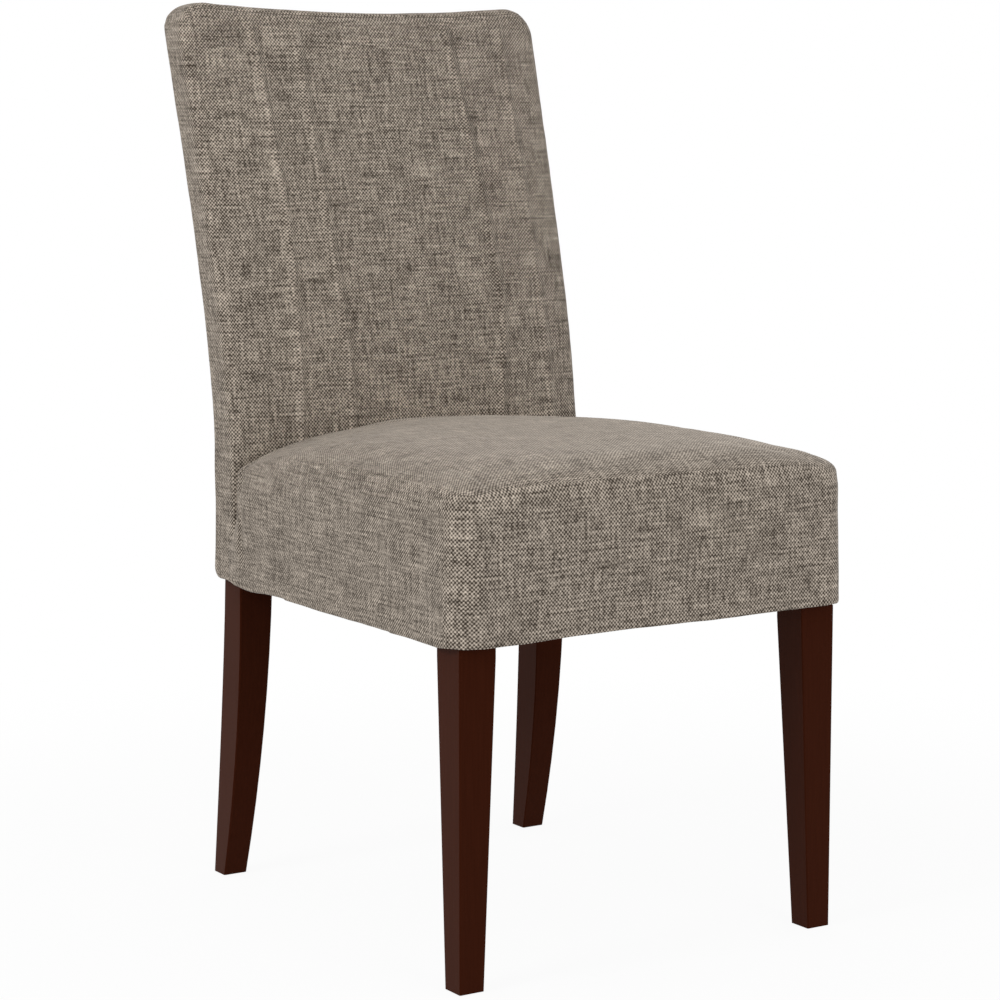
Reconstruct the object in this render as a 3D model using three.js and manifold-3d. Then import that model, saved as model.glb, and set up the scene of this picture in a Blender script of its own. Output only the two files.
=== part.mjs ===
import * as THREE from 'three';
import { mergeVertices } from 'three/addons/utils/BufferGeometryUtils.js';
import Module from 'manifold-3d';

const wasm = await Module();
wasm.setup();

// Lengths are millimetres. X runs to the chair's left and right, Y from the front legs backwards, Z up.

// Fits
const fit = 0.3;
const overrun = 3;

// Heights above the floor
const hemHeight = 350;
const backHeight = 990;

// Front legs
const frontLegInset = 9.1;
const frontLegWidth = 42.8;
const frontFootWidth = 28.4;
const taperStartDrop = 14;
const legArris = 1.2;
const hiddenCornerRadius = 8;

// Rear posts
const rearPostInset = 13;
const rearPostFrontInset = 35.7;
const rearPostWidth = 41.4;
const rearFootWidth = 28.5;
const rearFootDepth = 24.9;
const rearFootKick = 48;
const postTopWidth = 30;
const postTopDepth = 24;
const postTopDrop = 30;
const kneeCurve = 2;
const heelCurve = 1.25;

// Seat frame
const railHeight = 75;
const railThickness = 22;
const railAboveHem = 3;
const railSetback = 2;
const rearRailSetback = 2.5;

// Dowels, heights as shares of the rail's height
const dowelRadius = 5;
const dowelLength = 38;
const dowelSides = 12;
const crossDowelHeightShares = [0.2, 0.67];
const sideDowelHeightShares = [0.37, 0.84];

// Corner blocks and their screws
const blockHeight = 45;
const blockReachX = 62;
const blockReachY = 58;
const blockLift = 14;
const screwLength = 34;
const screwRadius = 2;
const screwHeadRadius = 4;
const screwHeadHeight = 2.6;
const screwCover = 14;
const screwBoreRadius = 4.6;
const screwSides = 10;
const screwPlaceShare = 0.27;

// Back frame
const backRailThickness = 18;
const crestRailHeight = 58;
const lowerRailHeight = 50;
const lowerRailAboveSeat = 36;
const tenonLength = 16;
const tenonThickness = 9;
const tenonHeightShare = 0.62;

// Webbing
const strapWidth = 50;
const strapThickness = 1.5;
const strapEndInset = 4;
const strapRamp = 22;
const seatStrapSpacingX = 112;
const seatStrapSpacingY = 118;
const backStrapSpacing = 92;

// Seat cushion and cover
const coverThickness = 1.8;
const seatBoxHeight = 179.5;
const seatFrontOverhang = 12.5;
const seatFrontHalfWidth = 243;
const seatTaper = 11;
const seatCornerRadius = 30;
const seatFrontShoulder = 19;
const seatSideShoulder = 27;
const seatSideBulge = 2;
const seatSideDrop = 12;
const seatEndDrop = 8;
const seatCornerDrop = 7;
const seatRearSideDrop = 26;

// Back cushion and cover
const backThickness = 52;
const backFlare = 5;
const backRake = 114;
const backHemFlare = 4.5;
const backWaistHeight = 440;
const backWaistSetback = 522;
const backFrontRadius = 18;
const backRearRadius = 5;
const backTopFrontRadius = 14;
const backTopRearRadius = 24;
const earRadius = 32;
const backDip = 8;
const dipReach = 110;
const earPeakInset = 38;
const outsidePanelThickness = 2.5;
const outsidePanelInset = 5;

// Dust cover under the seat
const dustClothThickness = 1;
const dustClothInset = 8;

// Glides
const glideRadius = 9;
const glideThickness = 4.5;
const glideProud = 1;
const glideNailRadius = 1.2;
const glideNailLength = 15;
const glideSides = 20;

// Steps of the back's curve between the waist and the posts' tops
const spineSteps = 9;

// Share of the back's rake at shares of its height above the waist
const rakeShares = [[0, 0], [0.15, 0.035], [0.3, 0.14], [0.5, 0.35], [0.75, 0.67], [1, 1]];

// Materials
const fabric = new THREE.MeshStandardMaterial({ color: 0x8c8276, roughness: 0.95, metalness: 0 });
const espressoWood = new THREE.MeshStandardMaterial({ color: 0x34180f, roughness: 0.45, metalness: 0 });
const rawWood = new THREE.MeshStandardMaterial({ color: 0xc9a676, roughness: 0.75, metalness: 0 });
const foam = new THREE.MeshStandardMaterial({ color: 0xe6dcc0, roughness: 1, metalness: 0 });
const webbing = new THREE.MeshStandardMaterial({ color: 0x3a3733, roughness: 0.9, metalness: 0 });
const blackCloth = new THREE.MeshStandardMaterial({ color: 0x151515, roughness: 1, metalness: 0 });
const steel = new THREE.MeshStandardMaterial({ color: 0xb4b6b8, roughness: 0.35, metalness: 1 });
const nylon = new THREE.MeshStandardMaterial({ color: 0x3b2a20, roughness: 0.5, metalness: 0 });

// Widths and levels that several pieces share
const seatRearHalfWidth = seatFrontHalfWidth - seatTaper;
const backHalfWidth = seatRearHalfWidth;
const frontLegSpread = 2 * (seatFrontHalfWidth - frontLegInset);
const rearPostSpread = 2 * (seatRearHalfWidth - rearPostInset);
const rearPostSetback = backWaistSetback - rearPostFrontInset;
const seatCrownHeight = hemHeight + seatBoxHeight;
const railBottom = hemHeight + railAboveHem;
const railTop = railBottom + railHeight;
const strapLevel = railTop + fit;
const foamBottom = strapLevel + 2 * (strapThickness + fit);
const postTop = backHeight - postTopDrop;
const crestRailBottom = postTop - crestRailHeight;
const lowerRailBottom = seatCrownHeight + lowerRailAboveSeat;

const mix = THREE.MathUtils.lerp;
const clamp = THREE.MathUtils.clamp;

// A smooth curve through a table of [place, value] pairs
function curveThrough(table, place) {
  const last = table.length - 1;
  let i = 0;
  while (i < last - 1 && place > table[i + 1][0]) i++;
  const slope = (k) => {
    const before = table[Math.max(k - 1, 0)];
    const after = table[Math.min(k + 1, last)];
    return (after[1] - before[1]) / (after[0] - before[0]);
  };
  const span = table[i + 1][0] - table[i][0];
  const t = (place - table[i][0]) / span;
  const rise = (2 * t ** 3 - 3 * t ** 2 + 1) * table[i][1] + (3 * t ** 2 - 2 * t ** 3) * table[i + 1][1];
  const bend = (t ** 3 - 2 * t ** 2 + t) * slope(i) + (t ** 3 - t ** 2) * slope(i + 1);
  return rise + bend * span;
}

// Rear face of the back, behind the front legs' front face: the smooth curve
function smoothRearY(z) {
  if (z < backWaistHeight) {
    return backWaistSetback + backHemFlare * ((backWaistHeight - z) / (backWaistHeight - hemHeight)) ** 2;
  }
  const place = Math.min((z - backWaistHeight) / (backHeight - backWaistHeight), 1);
  return backWaistSetback + backRake * curveThrough(rakeShares, place);
}

// Heights at which every piece that follows the back has its corners, so that faceted neighbours keep their gap
const spineLevels = [hemHeight, railBottom, railTop];
for (let i = 0; i <= spineSteps; i++) spineLevels.push(mix(backWaistHeight, postTop, i / spineSteps));
spineLevels.push(backHeight);

const spine = (low, high) => [low, ...spineLevels.filter((z) => z > low + fit && z < high - fit), high];

// Rear face of the back, straight between the shared heights
function backRearY(z) {
  let i = 0;
  while (i < spineLevels.length - 2 && z > spineLevels[i + 1]) i++;
  const [low, high] = [spineLevels[i], spineLevels[i + 1]];
  return mix(smoothRearY(low), smoothRearY(high), (z - low) / (high - low));
}

function backHalfAt(z) {
  const share = clamp((z - seatCrownHeight) / (backHeight - seatCrownHeight), 0, 1);
  return backHalfWidth + backFlare * share ** 2;
}

// Outline of a rear post at a height
function postSection(z) {
  const rearAtHem = backRearY(hemHeight) - outsidePanelThickness - fit;
  const outer = rearPostSpread / 2 + backHalfAt(z) - backHalfWidth;
  if (z <= hemHeight) {
    const drop = (hemHeight - z) / hemHeight;
    const footRear = rearPostSetback + rearFootKick + rearFootDepth;
    return {
      outer,
      inner: outer - mix(rearPostWidth, rearFootWidth, drop),
      front: rearPostSetback + rearFootKick * drop ** kneeCurve,
      rear: mix(rearAtHem, footRear, drop ** heelCurve),
    };
  }
  const rear = backRearY(z) - outsidePanelThickness - fit;
  const share = clamp((z - railTop) / (postTop - railTop), 0, 1);
  const depthAtRail = backRearY(railTop) - outsidePanelThickness - fit - rearPostSetback;
  return {
    outer,
    inner: outer - mix(rearPostWidth, postTopWidth, share),
    front: z <= railTop ? rearPostSetback : rear - mix(depthAtRail, postTopDepth, share),
    rear,
  };
}

// Boolean work on closed meshes
function toSolid(geometry) {
  const bare = geometry.clone();
  bare.deleteAttribute('normal');
  bare.deleteAttribute('uv');
  const merged = mergeVertices(bare);
  const vertProperties = new Float32Array(merged.attributes.position.array);
  const triVerts = new Uint32Array(merged.index.array);
  return new wasm.Manifold(new wasm.Mesh({ numProp: 3, vertProperties, triVerts }));
}

function fromSolid(solid) {
  const mesh = solid.getMesh();
  const geometry = new THREE.BufferGeometry();
  geometry.setAttribute('position', new THREE.BufferAttribute(new Float32Array(mesh.vertProperties), 3));
  geometry.setIndex(new THREE.BufferAttribute(new Uint32Array(mesh.triVerts), 1));
  geometry.computeVertexNormals();
  return geometry;
}

function cut(geometry, ...tools) {
  return fromSolid(tools.reduce((solid, tool) => solid.subtract(toSolid(tool)), toSolid(geometry)));
}

function join(geometry, ...others) {
  return fromSolid(others.reduce((solid, other) => solid.add(toSolid(other)), toSolid(geometry)));
}

function box(x0, x1, y0, y1, z0, z1) {
  const geometry = new THREE.BoxGeometry(x1 - x0, y1 - y0, z1 - z0);
  return geometry.translate((x0 + x1) / 2, (y0 + y1) / 2, (z0 + z1) / 2);
}

// A closed body through rings with the same even number of points, each ring anticlockwise from above
function loft(rings) {
  const count = rings[0].length;
  const positions = rings.flat().flatMap((p) => [p.x, p.y, p.z]);
  const index = [];
  for (let level = 0; level + 1 < rings.length; level++) {
    for (let i = 0; i < count; i++) {
      const a = level * count + i;
      const b = level * count + ((i + 1) % count);
      index.push(a, b, b + count, a, b + count, a + count);
    }
  }
  const top = (rings.length - 1) * count;
  for (let i = 0; i + 1 < count / 2; i++) {
    const [a, b, c, d] = [i, i + 1, count - 2 - i, count - 1 - i];
    index.push(a, c, b, a, d, c);
    index.push(top + a, top + b, top + c, top + a, top + c, top + d);
  }
  const geometry = new THREE.BufferGeometry();
  geometry.setAttribute('position', new THREE.Float32BufferAttribute(positions, 3));
  geometry.setIndex(index);
  geometry.computeVertexNormals();
  return geometry;
}

// A level rectangle with eased corners, in the order front left, front right, rear right, rear left
function easedRing(x0, x1, y0, y1, z, radii, steps) {
  const corners = [[x0, y0, 1, 1], [x1, y0, -1, 1], [x1, y1, -1, -1], [x0, y1, 1, -1]];
  const ring = [];
  corners.forEach(([x, y, inX, inY], corner) => {
    const r = radii[corner];
    for (let step = 0; step <= steps; step++) {
      const angle = Math.PI * (1 + corner / 2 + step / steps / 2);
      const px = x + inX * r + r * Math.cos(angle);
      const py = y + inY * r + r * Math.sin(angle);
      ring.push(new THREE.Vector3(px, py, z));
    }
  });
  return ring;
}

// Hollow under a foot for its glide
function glideSeat(x, y) {
  const disc = new THREE.CylinderGeometry(glideRadius + fit, glideRadius + fit, glideThickness + fit, glideSides);
  disc.rotateX(Math.PI / 2).translate(x, y, (glideThickness + fit) / 2);
  const bore = glideNailRadius + fit;
  const nail = new THREE.CylinderGeometry(bore, bore, glideNailLength + fit, glideSides);
  nail.rotateX(Math.PI / 2).translate(x, y, glideThickness + (glideNailLength + fit) / 2);
  return [disc, nail];
}

function glide(x, y) {
  const outline = [
    [0, 0],
    [glideRadius, 0],
    [glideRadius, glideThickness],
    [glideNailRadius, glideThickness],
    [glideNailRadius, glideThickness + glideNailLength - 2 * glideNailRadius],
    [0, glideThickness + glideNailLength],
  ].map(([r, z]) => new THREE.Vector2(r, z));
  return new THREE.LatheGeometry(outline, glideSides).rotateX(Math.PI / 2).translate(x, y, 0);
}

// Where each glide sits: the middle of its foot
const frontGlidePlace = [frontLegSpread / 2 - frontFootWidth / 2, frontFootWidth / 2];
const rearGlidePlace = [rearPostSpread / 2 - rearFootWidth / 2, rearPostSetback + rearFootKick + rearFootDepth / 2];

// Dowel joints of one rail end, as places and directions
function dowelPlaces(side, end) {
  const across = end === 'cross_front' || end === 'cross_rear';
  const shares = across ? crossDowelHeightShares : sideDowelHeightShares;
  const places = {
    cross_front: [frontLegSpread / 2 - frontLegWidth, railSetback + railThickness / 2],
    cross_rear: [rearPostSpread / 2 - rearPostWidth, rearRailY() + railThickness / 2],
    side_front: [sideRailOuterX(frontLegWidth) - railThickness / 2, frontLegWidth],
    side_rear: [sideRailOuterX(rearPostSetback) - railThickness / 2, rearPostSetback],
  };
  const [x, y] = places[end];
  return shares.map((share) => ({ x: side * x, y, z: railBottom + share * railHeight, across }));
}

function rodAt({ x, y, z, across }, radius, length) {
  const rod = new THREE.CylinderGeometry(radius, radius, length, dowelSides);
  if (across) rod.rotateZ(Math.PI / 2);
  return rod.translate(x, y, z);
}

const dowelHoles = (side, end) => {
  return dowelPlaces(side, end).map((place) => rodAt(place, dowelRadius + fit, dowelLength + 2 * fit));
};

// Front leg: tapered on its two inner faces, its outer arris eased inside the cover
function frontLeg(side) {
  const outer = frontLegSpread / 2;
  const rings = [
    [glideProud, frontFootWidth, legArris],
    [hemHeight - taperStartDrop, frontLegWidth, legArris],
    [hemHeight, frontLegWidth, legArris],
    [railBottom, frontLegWidth, hiddenCornerRadius],
    [railTop, frontLegWidth, hiddenCornerRadius],
  ].map(([z, width, corner]) => {
    const radii = side > 0 ? [legArris, corner, legArris, legArris] : [corner, legArris, legArris, legArris];
    const x0 = side > 0 ? outer - width : -outer;
    return easedRing(x0, x0 + width, 0, width, z, radii, 2);
  });
  const [gx, gy] = frontGlidePlace;
  const holes = [...glideSeat(side * gx, gy), ...dowelHoles(side, 'cross_front'), ...dowelHoles(side, 'side_front')];
  return cut(loft(rings), ...holes);
}

// Rear post: swept foot, plumb stretch at the seat frame, leaning upright
function rearPost(side) {
  const heights = [glideProud];
  const steps = 8;
  for (let i = 1; i <= steps; i++) heights.push(mix(glideProud, hemHeight, i / steps));
  heights.push(...spine(hemHeight, postTop).slice(1));
  const rings = heights.map((z) => {
    const { outer, inner, front, rear } = postSection(z);
    const x0 = side > 0 ? inner : -outer;
    const x1 = side > 0 ? outer : -inner;
    return easedRing(x0, x1, front, rear, z, Array(4).fill(legArris), 1);
  });
  const [gx, gy] = rearGlidePlace;
  const holes = [...glideSeat(side * gx, gy), ...dowelHoles(side, 'cross_rear'), ...dowelHoles(side, 'side_rear')];
  const mortises = backRails.map(({ low, high }) => tenon(side, low, high, fit));
  return cut(loft(rings), ...holes, ...mortises);
}

// Seat rails
function sideRailOuterX(y) {
  const share = (y - frontLegWidth) / (rearPostSetback - frontLegWidth);
  return mix(frontLegSpread / 2, rearPostSpread / 2, share) - railSetback;
}

function rearRailY() {
  return backRearY(railTop) - outsidePanelThickness - fit - rearRailSetback - railThickness;
}

function crossRail(end, inner, y0, holes) {
  const half = inner - fit;
  const rail = box(-half, half, y0, y0 + railThickness, railBottom, railTop);
  return cut(rail, ...dowelHoles(1, end), ...dowelHoles(-1, end), ...holes);
}

function sideRail(side) {
  const y0 = frontLegWidth + fit;
  const y1 = rearPostSetback - fit;
  const plan = [
    [sideRailOuterX(y0) - railThickness, y0],
    [sideRailOuterX(y0), y0],
    [sideRailOuterX(y1), y1],
    [sideRailOuterX(y1) - railThickness, y1],
  ];
  const rail = prism(plan, side, railBottom, railHeight);
  const screws = [...screwHoles(side, 'front', 'side'), ...screwHoles(side, 'rear', 'side')];
  return cut(rail, ...dowelHoles(side, 'side_front'), ...dowelHoles(side, 'side_rear'), ...screws);
}

// An upright prism over a plan drawn on the right-hand side
function prism(plan, side, low, height) {
  const shape = new THREE.Shape(plan.map(([x, y]) => new THREE.Vector2(side * x, y)));
  return new THREE.ExtrudeGeometry(shape, { depth: height, bevelEnabled: false }).translate(0, 0, low);
}

// Corner block: fills the frame's corner and is notched round the leg
function blockPlan(end) {
  const front = end === 'front';
  const face = front ? railSetback + railThickness + fit : rearRailY() - fit;
  const legX = (front ? frontLegSpread / 2 - frontLegWidth : rearPostSpread / 2 - rearPostWidth) - fit;
  const legY = front ? frontLegWidth + fit : rearPostSetback - fit;
  const reach = front ? legY + blockReachY : legY - blockReachY;
  const railX = (y) => sideRailOuterX(y) - railThickness - fit;
  return [[legX - blockReachX, face], [legX, face], [legX, legY], [railX(legY), legY], [railX(reach), reach]];
}

// The two screws of a block: where the head seats, and which way the screw points
function screwPlace(side, end, into) {
  const plan = blockPlan(end);
  const [tip, , , , toe] = plan;
  const z = railBottom + blockLift + blockHeight / 2;
  const depthWay = end === 'front' ? 1 : -1;
  if (into === 'cross') {
    const x = mix(tip[0], toe[0], screwPlaceShare);
    return { x: side * x, y: tip[1] + depthWay * screwCover, z, way: [0, -depthWay] };
  }
  const y = mix(toe[1], tip[1], screwPlaceShare);
  const wall = sideRailOuterX(y) - railThickness - fit;
  return { x: side * (wall - screwCover), y, z, way: [side, 0] };
}

// A round shape turned so that its own +Y points along the screw
function alongScrew(geometry, { x, y, z, way }) {
  if (way[0]) geometry.rotateZ(-way[0] * Math.PI / 2);
  else if (way[1] < 0) geometry.rotateZ(Math.PI);
  return geometry.translate(x, y, z);
}

function screw(place) {
  const outline = [
    [0, 0],
    [screwHeadRadius, 0],
    [screwRadius, screwHeadHeight],
    [screwRadius, screwLength - 2 * screwRadius],
    [0, screwLength],
  ].map(([r, y]) => new THREE.Vector2(r, y));
  return alongScrew(new THREE.LatheGeometry(outline, screwSides), place);
}

function screwHoles(side, end, into) {
  const radius = screwRadius + fit;
  const hole = new THREE.CylinderGeometry(radius, radius, screwLength + fit, screwSides);
  hole.translate(0, (screwLength + fit) / 2, 0);
  return [alongScrew(hole, screwPlace(side, end, into))];
}

// The counterbore that takes the head, open to the block's sloping face
function headBore(side, end, into) {
  const length = blockReachX;
  const bore = new THREE.CylinderGeometry(screwBoreRadius, screwBoreRadius, length, screwSides);
  bore.translate(0, screwHeadHeight + fit - length / 2, 0);
  return alongScrew(bore, screwPlace(side, end, into));
}

function cornerBlock(side, end) {
  const block = prism(blockPlan(end), side, railBottom + blockLift, blockHeight);
  const tools = ['cross', 'side'].flatMap((into) => [...screwHoles(side, end, into), headBore(side, end, into)]);
  return cut(block, ...tools);
}

// Cross rails of the back, tenoned into the posts
const backRails = [
  { name: 'lower_back_rail', low: lowerRailBottom, high: lowerRailBottom + lowerRailHeight },
  { name: 'crest_rail', low: crestRailBottom, high: crestRailBottom + crestRailHeight },
];

const postMiddle = (z) => (postSection(z).front + postSection(z).rear) / 2;

function tenon(side, low, high, clearance) {
  const middle = (low + high) / 2;
  const half = (high - low) * tenonHeightShare / 2 + clearance;
  const rings = [middle - half, middle + half].map((z) => {
    const { inner } = postSection(z);
    const x0 = clearance ? inner - overrun : inner - tenonLength;
    const x1 = inner + tenonLength + clearance;
    const y0 = postMiddle(z) - tenonThickness / 2 - clearance;
    const y1 = postMiddle(z) + tenonThickness / 2 + clearance;
    const [a, b] = side > 0 ? [x0, x1] : [-x1, -x0];
    return easedRing(a, b, y0, y1, z, Array(4).fill(fit), 1);
  });
  return loft(rings);
}

function backRail(low, high) {
  const rings = [low, high].map((z) => {
    const half = postSection(z).inner - fit;
    const y0 = postMiddle(z) - backRailThickness / 2;
    return easedRing(-half, half, y0, y0 + backRailThickness, z, Array(4).fill(legArris), 1);
  });
  return join(loft(rings), tenon(1, low, high, 0), tenon(-1, low, high, 0));
}

// A flat strap whose path is drawn in a plane and which is as wide as the webbing
function ribbon(path) {
  const under = path.map(([along, height]) => new THREE.Vector2(along, height));
  const over = path.map(([along, height]) => new THREE.Vector2(along, height + strapThickness)).reverse();
  const shape = new THREE.Shape([...under, ...over]);
  return new THREE.ExtrudeGeometry(shape, { depth: strapWidth, bevelEnabled: false });
}

// Path of a seat strap that passes over and under the straps across it
function wovenPath(start, end, crossings, startsHigh) {
  const high = strapLevel + strapThickness + fit;
  const plateau = strapWidth / 2 + overrun;
  const path = [[start, strapLevel]];
  crossings.forEach((place, i) => {
    if ((i % 2 === 0) !== startsHigh) return;
    path.push([place - plateau - strapRamp, strapLevel], [place - plateau, high]);
    path.push([place + plateau, high], [place + plateau + strapRamp, strapLevel]);
  });
  path.push([end, strapLevel]);
  return path;
}

const strapRowsX = [-1, 0, 1].map((row) => row * seatStrapSpacingX);
const seatMiddleY = (railSetback + rearRailY() + railThickness) / 2;
const strapRowsY = [-1, 0, 1].map((row) => seatMiddleY + row * seatStrapSpacingY);

function lengthwiseStrap(row) {
  const start = railSetback + strapEndInset;
  const end = rearRailY() + railThickness - strapEndInset;
  const strap = ribbon(wovenPath(start, end, strapRowsY, row % 2 === 0));
  return strap.rotateX(Math.PI / 2).rotateZ(Math.PI / 2).translate(strapRowsX[row] - strapWidth / 2, 0, 0);
}

function crosswiseStrap(row) {
  const y = strapRowsY[row];
  const half = sideRailOuterX(y + strapWidth / 2) - strapEndInset;
  const strap = ribbon(wovenPath(-half, half, strapRowsX, row % 2 === 1));
  return strap.rotateX(Math.PI / 2).translate(0, y + strapWidth / 2, 0);
}

// Back strap, pulled straight from the lower rail's front face to the crest rail's
function backStrap(x) {
  const heights = backRails.flatMap(({ low, high }) => [low, high]);
  heights[0] += strapEndInset;
  heights[heights.length - 1] -= strapEndInset;
  const faceAt = (z) => postMiddle(z) - backRailThickness / 2 - fit;
  const near = heights.map((z) => new THREE.Vector2(faceAt(z), z));
  const far = heights.map((z) => new THREE.Vector2(faceAt(z) - strapThickness, z)).reverse();
  const shape = new THREE.Shape([...near, ...far]);
  const strap = new THREE.ExtrudeGeometry(shape, { depth: strapWidth, bevelEnabled: false });
  return strap.rotateX(Math.PI / 2).rotateZ(Math.PI / 2).translate(x - strapWidth / 2, 0, 0);
}

// Top of the seat: a crown that falls towards the sides and ends, more at the corners and beside the back
const seatRearY = backWaistSetback - backThickness;
const seatCentreY = (seatRearY - seatFrontOverhang) / 2;

function seatTopAt(x, y) {
  const sideways = Math.abs(x / seatFrontHalfWidth) ** 4;
  const lengthways = Math.abs((y - seatCentreY) / (seatRearY - seatCentreY)) ** 4;
  const rearward = clamp((y - seatCentreY) / (seatRearY - seatCentreY), 0, 1);
  const besideBack = seatRearSideDrop * rearward ** 2 * (x / seatFrontHalfWidth) ** 2;
  const corner = seatCornerDrop * sideways * lengthways;
  return seatCrownHeight - seatSideDrop * sideways - seatEndDrop * lengthways - corner - besideBack;
}

// Half of the seat's plan, from the middle of the front round to the middle of the rear
function seatHalfPlan() {
  const rear = seatRearY + backThickness / 2;
  const straight = seatFrontHalfWidth - seatCornerRadius;
  const columns = [0, 0.3, 0.6, 0.85].map((share) => {
    return { x: share * straight, y: -seatFrontOverhang, nx: 0, ny: -1, shoulder: seatFrontShoulder };
  });
  const steps = 4;
  for (let i = 0; i <= steps; i++) {
    const angle = (i / steps) * Math.PI / 2;
    const nx = Math.sin(angle);
    const ny = -Math.cos(angle);
    const x = straight + seatCornerRadius * nx;
    const y = seatCornerRadius - seatFrontOverhang + seatCornerRadius * ny;
    columns.push({ x, y, nx, ny, shoulder: mix(seatFrontShoulder, seatSideShoulder, i / steps) });
  }
  const start = seatCornerRadius - seatFrontOverhang;
  for (const share of [0.15, 0.35, 0.55, 0.75, 1]) {
    const x = mix(seatFrontHalfWidth, seatRearHalfWidth, share);
    columns.push({ x, y: mix(start, rear, share), nx: 1, ny: 0, shoulder: seatSideShoulder });
  }
  for (const share of [0.8, 0.4, 0]) {
    columns.push({ x: share * seatRearHalfWidth, y: rear, nx: 0, ny: 1, shoulder: seatFrontShoulder });
  }
  return columns;
}

// The seat's padded body, drawn in by an inset all over
function seatBody(inset, bottom) {
  const half = seatHalfPlan();
  const mirrored = half.slice(1, -1).reverse().map((c) => ({ ...c, x: -c.x, nx: -c.nx }));
  const columns = [...half, ...mirrored];
  const rings = [];
  for (const share of [0, 0.4, 0.8, 1]) {
    rings.push(columns.map((c) => {
      const belly = seatSideBulge * Math.sin(Math.PI * share);
      const x = c.x + c.nx * (belly - inset);
      const y = c.y + c.ny * (belly - inset);
      const wallTop = seatTopAt(c.x, c.y) - inset - (c.shoulder - inset);
      return new THREE.Vector3(x, y, mix(bottom, wallTop, share));
    }));
  }
  for (const angle of [30, 60, 90].map(THREE.MathUtils.degToRad)) {
    rings.push(columns.map((c) => {
      const radius = c.shoulder - inset;
      const draw = inset + radius * (1 - Math.cos(angle));
      const x = c.x - c.nx * draw;
      const y = c.y - c.ny * draw;
      return new THREE.Vector3(x, y, seatTopAt(x, y) - inset - radius * (1 - Math.sin(angle)));
    }));
  }
  const edge = rings.at(-1);
  for (const share of [0.3, 0.6, 0.85]) {
    rings.push(edge.map((p) => {
      const x = mix(p.x, 0, share);
      const y = mix(p.y, seatCentreY, share);
      return new THREE.Vector3(x, y, seatTopAt(x, y) - inset);
    }));
  }
  return loft(rings);
}

// How far a quarter round has drawn in at a depth below its top
const roundedDraw = (drop, radius) => drop < radius ? radius - Math.sqrt(radius ** 2 - (radius - drop) ** 2) : 0;

// The back's padded body, drawn in by its own amount at the sides, front, rear and top
function backBody({ side, front, rear, top, bottom, frontRadius, rearRadius, topFrontRadius, topRearRadius }) {
  const ear = earRadius - side;
  const peak = backHeight - top;
  const heights = spine(bottom, peak - ear).slice(0, -1);
  for (const share of [1, 0.6, 0.32, 0.14, 0.035, 0]) heights.push(peak - share * ear);
  const rings = heights.map((z) => {
    const drop = peak - z;
    const half = backHalfAt(z) - side - roundedDraw(drop, ear);
    const y0 = backRearY(z) - backThickness + front + roundedDraw(drop, topFrontRadius);
    const y1 = backRearY(z) - rear - roundedDraw(drop, topRearRadius);
    return backRing(half, y0, y1, z, Math.min(frontRadius, (y1 - y0) / 2.5), Math.min(rearRadius, (y1 - y0) / 2.5));
  });
  return loft(rings);
}

// One level of the back, with points along its long faces and the dip of the top edge
function backRing(half, y0, y1, z, frontRadius, rearRadius) {
  const eased = easedRing(-half, half, y0, y1, z, [frontRadius, frontRadius, rearRadius, rearRadius], 3);
  const perCorner = eased.length / 4;
  const ring = [];
  const alongShares = [1 / 6, 1 / 3, 1 / 2, 2 / 3, 5 / 6];
  eased.forEach((p, i) => {
    ring.push(p);
    const endsFront = i === perCorner - 1;
    const endsRear = i === 3 * perCorner - 1;
    if (endsFront || endsRear) alongShares.forEach((share) => ring.push(p.clone().lerp(eased[i + 1], share)));
  });
  const weight = clamp((z - (backHeight - dipReach)) / dipReach, 0, 1) ** 2;
  for (const p of ring) {
    const share = Math.min(Math.abs(p.x) / (backHalfAt(backHeight) - earPeakInset), 1);
    p.z -= backDip * weight * (1 - share ** 2);
  }
  return ring;
}

const insetBack = (inset, bottom) => backBody({
  side: inset,
  front: inset,
  rear: inset,
  top: inset,
  bottom,
  frontRadius: backFrontRadius - inset,
  rearRadius: Math.max(backRearRadius - inset, fit),
  topFrontRadius: backTopFrontRadius - inset,
  topRearRadius: backTopRearRadius - inset,
});

// The panel that closes the rear of the back, grown by a clearance where it is used as a cutter
function outsidePanel(clearance) {
  return backBody({
    side: outsidePanelInset - clearance,
    front: backThickness - outsidePanelThickness - clearance,
    rear: clearance ? -overrun : 0,
    top: backTopRearRadius - clearance,
    bottom: hemHeight - (clearance ? overrun : 0),
    frontRadius: fit,
    rearRadius: fit,
    topFrontRadius: 0,
    topRearRadius: 0,
  });
}

// Room that the seat leaves for the back
const backRoom = (gap) => insetBack(-gap, hemHeight - 2 * overrun);

function seatCover() {
  const outer = cut(seatBody(0, hemHeight), backRoom(fit));
  const inner = cut(seatBody(coverThickness, hemHeight - overrun), backRoom(fit + coverThickness));
  const gate = seatRearHalfWidth - 3 * coverThickness;
  const low = hemHeight - overrun;
  const opening = box(-gate, gate, rearPostSetback - backThickness, rearPostSetback, low, foamBottom);
  return cut(outer, inner, opening);
}

// A box over the whole of the seat's plan between two heights
function acrossSeat(low, high) {
  const half = seatFrontHalfWidth + seatSideBulge;
  return box(-half, half, -backThickness, seatRearY + backThickness, low, high);
}

function seatFoam() {
  const body = cut(seatBody(coverThickness + fit, hemHeight), backRoom(2 * fit + coverThickness));
  return cut(body, acrossSeat(hemHeight - overrun, foamBottom));
}

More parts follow.
